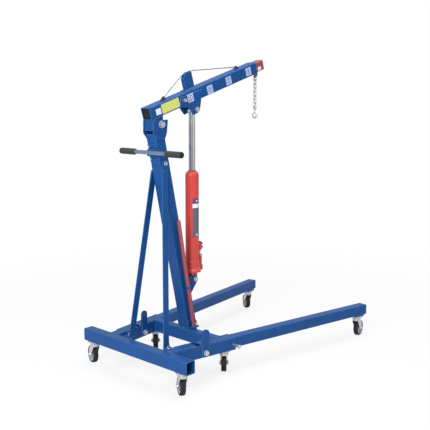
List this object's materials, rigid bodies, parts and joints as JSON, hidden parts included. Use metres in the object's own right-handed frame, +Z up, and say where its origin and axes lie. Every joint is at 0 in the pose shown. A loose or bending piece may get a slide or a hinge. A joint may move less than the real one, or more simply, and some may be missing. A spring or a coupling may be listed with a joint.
{
  "type": "engine hoist crane",
  "caption": "Folding wheeled engine hoist: leaning post, telescopic boom on a long hydraulic ram, chain with a hook, fold-up splayed legs on swivel casters.",
  "frame": {"origin": "centre of the hoist's box at floor level, where the wheels stand", "axes": "+X to the front, where the boom and the legs point; +Y to the left; +Z up"},
  "size_m": [1.5732, 1.0272, 1.7331],
  "materials": {
    "frame_blue": "satin",
    "cylinder_red": "gloss",
    "boom_red": "satin",
    "handle_red": "satin",
    "zinc_steel": "satin",
    "rod_chrome": "polished",
    "push_bar_steel": "satin",
    "forged_steel": "satin",
    "cable_steel": "satin",
    "grip_rubber": "matte",
    "tread_black": "matte",
    "wheel_grey": "satin"
  },
  "bodies": {
    "base": {"rear_cross_tube": "frame_blue", "side_rails": "frame_blue", "front_crossbar": "frame_blue", "leg_bracket_right": "frame_blue", "leg_bracket_left": "frame_blue", "leg_pivot_bolts": "zinc_steel", "caster_plates_base": "zinc_steel", "post_base": "frame_blue", "post": "frame_blue", "post_head": "frame_blue", "braces": "frame_blue", "frame_bolts": "zinc_steel", "push_bar_bracket": "frame_blue", "push_bar": "push_bar_steel", "push_bar_grips": "grip_rubber", "boom_pivot_bolt": "zinc_steel", "ram_bracket": "frame_blue", "handle_holder": "frame_blue"},
    "leg_right": {"leg_right": "frame_blue", "caster_plate_right": "zinc_steel"},
    "leg_left": {"leg_left": "frame_blue", "caster_plate_left": "zinc_steel"},
    "lock_pin_right": {"lock_pin_right": "zinc_steel"},
    "lock_pin_left": {"lock_pin_left": "zinc_steel"},
    "boom": {"outer_boom": "frame_blue", "boom_pivot_lug": "frame_blue", "boom_clevis": "frame_blue", "boom_fasteners": "zinc_steel", "boom_strut": "frame_blue", "guy_cable": "cable_steel"},
    "boom_lock_bolt": {"boom_lock_bolt": "zinc_steel"},
    "inner_boom": {"inner_boom": "boom_red"},
    "chain": {"chain": "zinc_steel"},
    "hook": {"hook": "forged_steel"},
    "hook_latch": {"hook_latch": "zinc_steel"},
    "ram": {"ram_body": "cylinder_red"},
    "ram_rod": {"ram_rod": "rod_chrome"},
    "pump_plunger": {"pump_plunger": "rod_chrome"},
    "pump_socket": {"pump_socket": "cylinder_red"},
    "release_valve": {"release_valve": "zinc_steel"},
    "pump_handle": {"pump_handle": "handle_red"},
    "fork_rear_right": {"fork_rear_right": "zinc_steel"},
    "wheel_rear_right": {"wheel_rear_right": "wheel_grey", "tyre_rear_right": "tread_black"},
    "fork_rear_left": {"fork_rear_left": "zinc_steel"},
    "wheel_rear_left": {"wheel_rear_left": "wheel_grey", "tyre_rear_left": "tread_black"},
    "fork_middle_right": {"fork_middle_right": "zinc_steel"},
    "wheel_middle_right": {"wheel_middle_right": "wheel_grey", "tyre_middle_right": "tread_black"},
    "fork_middle_left": {"fork_middle_left": "zinc_steel"},
    "wheel_middle_left": {"wheel_middle_left": "wheel_grey", "tyre_middle_left": "tread_black"},
    "fork_front_right": {"fork_front_right": "zinc_steel"},
    "wheel_front_right": {"wheel_front_right": "wheel_grey", "tyre_front_right": "tread_black"},
    "fork_front_left": {"fork_front_left": "zinc_steel"},
    "wheel_front_left": {"wheel_front_left": "wheel_grey", "tyre_front_left": "tread_black"}
  },
  "joints": [
    {"name": "boom_lift", "type": "hinge", "parent": "base", "child": "boom", "pos_m": [-0.59364, -0.01805, 1.369], "axis": [0, -1, 0], "range_deg": [-40, 30]},
    {"name": "ram_tilt", "type": "hinge", "parent": "base", "child": "ram", "pos_m": [-0.32564, -0.01805, 0.486], "axis": [0, -1, 0], "range_deg": [-1.8, 1.4]},
    {"name": "rod_slide", "type": "slide", "parent": "ram", "child": "ram_rod", "axis": [0, 0, 1], "range_m": [-0.19, 0.15]},
    {"name": "boom_extend", "type": "slide", "parent": "boom", "child": "inner_boom", "axis": [0.9558, 0, 0.294], "range_m": [0, 0.504]},
    {"name": "lock_bolt_in", "type": "slide", "parent": "boom", "child": "boom_lock_bolt", "axis": [0, 1, 0], "range_m": [0, 0.012]},
    {"name": "leg_fold_right", "type": "hinge", "parent": "base", "child": "leg_right", "pos_m": [-0.51048, -0.27127, 0.16], "axis": [-0.165, -0.9863, 0], "range_deg": [0, 90]},
    {"name": "lock_pin_right_in", "type": "slide", "parent": "base", "child": "lock_pin_right", "axis": [0.165, 0.9863, 0], "range_m": [-0.03, 0.049]},
    {"name": "leg_fold_left", "type": "hinge", "parent": "base", "child": "leg_left", "pos_m": [-0.51048, 0.23516, 0.16], "axis": [0.165, -0.9863, 0], "range_deg": [0, 90]},
    {"name": "lock_pin_left_in", "type": "slide", "parent": "base", "child": "lock_pin_left", "axis": [-0.165, 0.9863, 0], "range_m": [-0.03, 0.049]},
    {"name": "swivel_rear_right", "type": "hinge", "parent": "base", "child": "fork_rear_right", "pos_m": [-0.75564, -0.37505, 0.105], "axis": [0, 0, 1], "continuous": true},
    {"name": "spin_rear_right", "type": "hinge", "parent": "fork_rear_right", "child": "wheel_rear_right", "pos_m": [-0.73815, -0.34707, 0.05], "axis": [-0.848, 0.5299, 0], "continuous": true},
    {"name": "swivel_rear_left", "type": "hinge", "parent": "base", "child": "fork_rear_left", "pos_m": [-0.75564, 0.33895, 0.105], "axis": [0, 0, 1], "continuous": true},
    {"name": "spin_rear_left", "type": "hinge", "parent": "fork_rear_left", "child": "wheel_rear_left", "pos_m": [-0.74599, 0.3705, 0.05], "axis": [-0.9563, 0.2924, 0], "continuous": true},
    {"name": "swivel_middle_right", "type": "hinge", "parent": "base", "child": "fork_middle_right", "pos_m": [-0.35958, -0.29652, 0.105], "axis": [0, 0, 1], "continuous": true},
    {"name": "spin_middle_right", "type": "hinge", "parent": "fork_middle_right", "child": "wheel_middle_right", "pos_m": [-0.33505, -0.27444, 0.05], "axis": [-0.6691, 0.7431, 0], "continuous": true},
    {"name": "swivel_middle_left", "type": "hinge", "parent": "base", "child": "fork_middle_left", "pos_m": [-0.35958, 0.26041, 0.105], "axis": [0, 0, 1], "continuous": true},
    {"name": "spin_middle_left", "type": "hinge", "parent": "fork_middle_left", "child": "wheel_middle_left", "pos_m": [-0.3375, 0.28494, 0.05], "axis": [-0.7431, 0.6691, 0], "continuous": true},
    {"name": "swivel_front_right", "type": "hinge", "parent": "leg_right", "child": "fork_front_right", "pos_m": [0.70364, -0.47444, 0.105], "axis": [0, 0, 1], "continuous": true},
    {"name": "spin_front_right", "type": "hinge", "parent": "fork_front_right", "child": "wheel_front_right", "pos_m": [0.73603, -0.46814, 0.05], "axis": [-0.1908, 0.9816, 0], "continuous": true},
    {"name": "swivel_front_left", "type": "hinge", "parent": "leg_left", "child": "fork_front_left", "pos_m": [0.70364, 0.43833, 0.105], "axis": [0, 0, 1], "continuous": true},
    {"name": "spin_front_left", "type": "hinge", "parent": "fork_front_left", "child": "wheel_front_left", "pos_m": [0.72063, 0.46662, 0.05], "axis": [-0.8572, 0.515, 0], "continuous": true},
    {"name": "chain_swing", "type": "hinge", "parent": "inner_boom", "child": "chain", "pos_m": [0.21386, -0.01805, 1.63834], "axis": [0, 1, 0], "range_deg": [-60, 55]},
    {"name": "hook_swing", "type": "hinge", "parent": "chain", "child": "hook", "pos_m": [0.21386, -0.01805, 1.45024], "axis": [1, 0, 0], "range_deg": [-40, 40]},
    {"name": "latch_open", "type": "hinge", "parent": "hook", "child": "hook_latch", "pos_m": [0.21386, -0.01605, 1.42564], "axis": [-1, 0, 0], "range_deg": [0, 30], "stiffness_Nm_per_rad": 0.02, "springref_deg": -17.19},
    {"name": "pump_rock", "type": "hinge", "parent": "ram", "child": "pump_socket", "pos_m": [-0.27764, -0.01805, 0.661], "axis": [0, 1, 0], "range_deg": [0, 35]},
    {"name": "plunger_stroke", "type": "slide", "parent": "ram", "child": "pump_plunger", "axis": [0, 0, -1], "range_m": [0, 0.0106]},
    {"name": "release_turn", "type": "hinge", "parent": "ram", "child": "release_valve", "pos_m": [-0.36664, -0.01805, 0.556], "axis": [-1, 0, 0], "range_deg": [0, 180]},
    {"name": "handle_lift", "type": "slide", "parent": "base", "child": "pump_handle", "axis": [-0.185, 0, 0.9827], "range_m": [0, 0.25]}
  ],
  "couplings": [
    {"joint": "ram_tilt", "follows": "boom_lift", "ratio": 0.04},
    {"joint": "rod_slide", "follows": "boom_lift", "m_per_rad": 0.265},
    {"joint": "pump_rock", "follows": "plunger_stroke", "rad_per_m": 57.143}
  ]
}
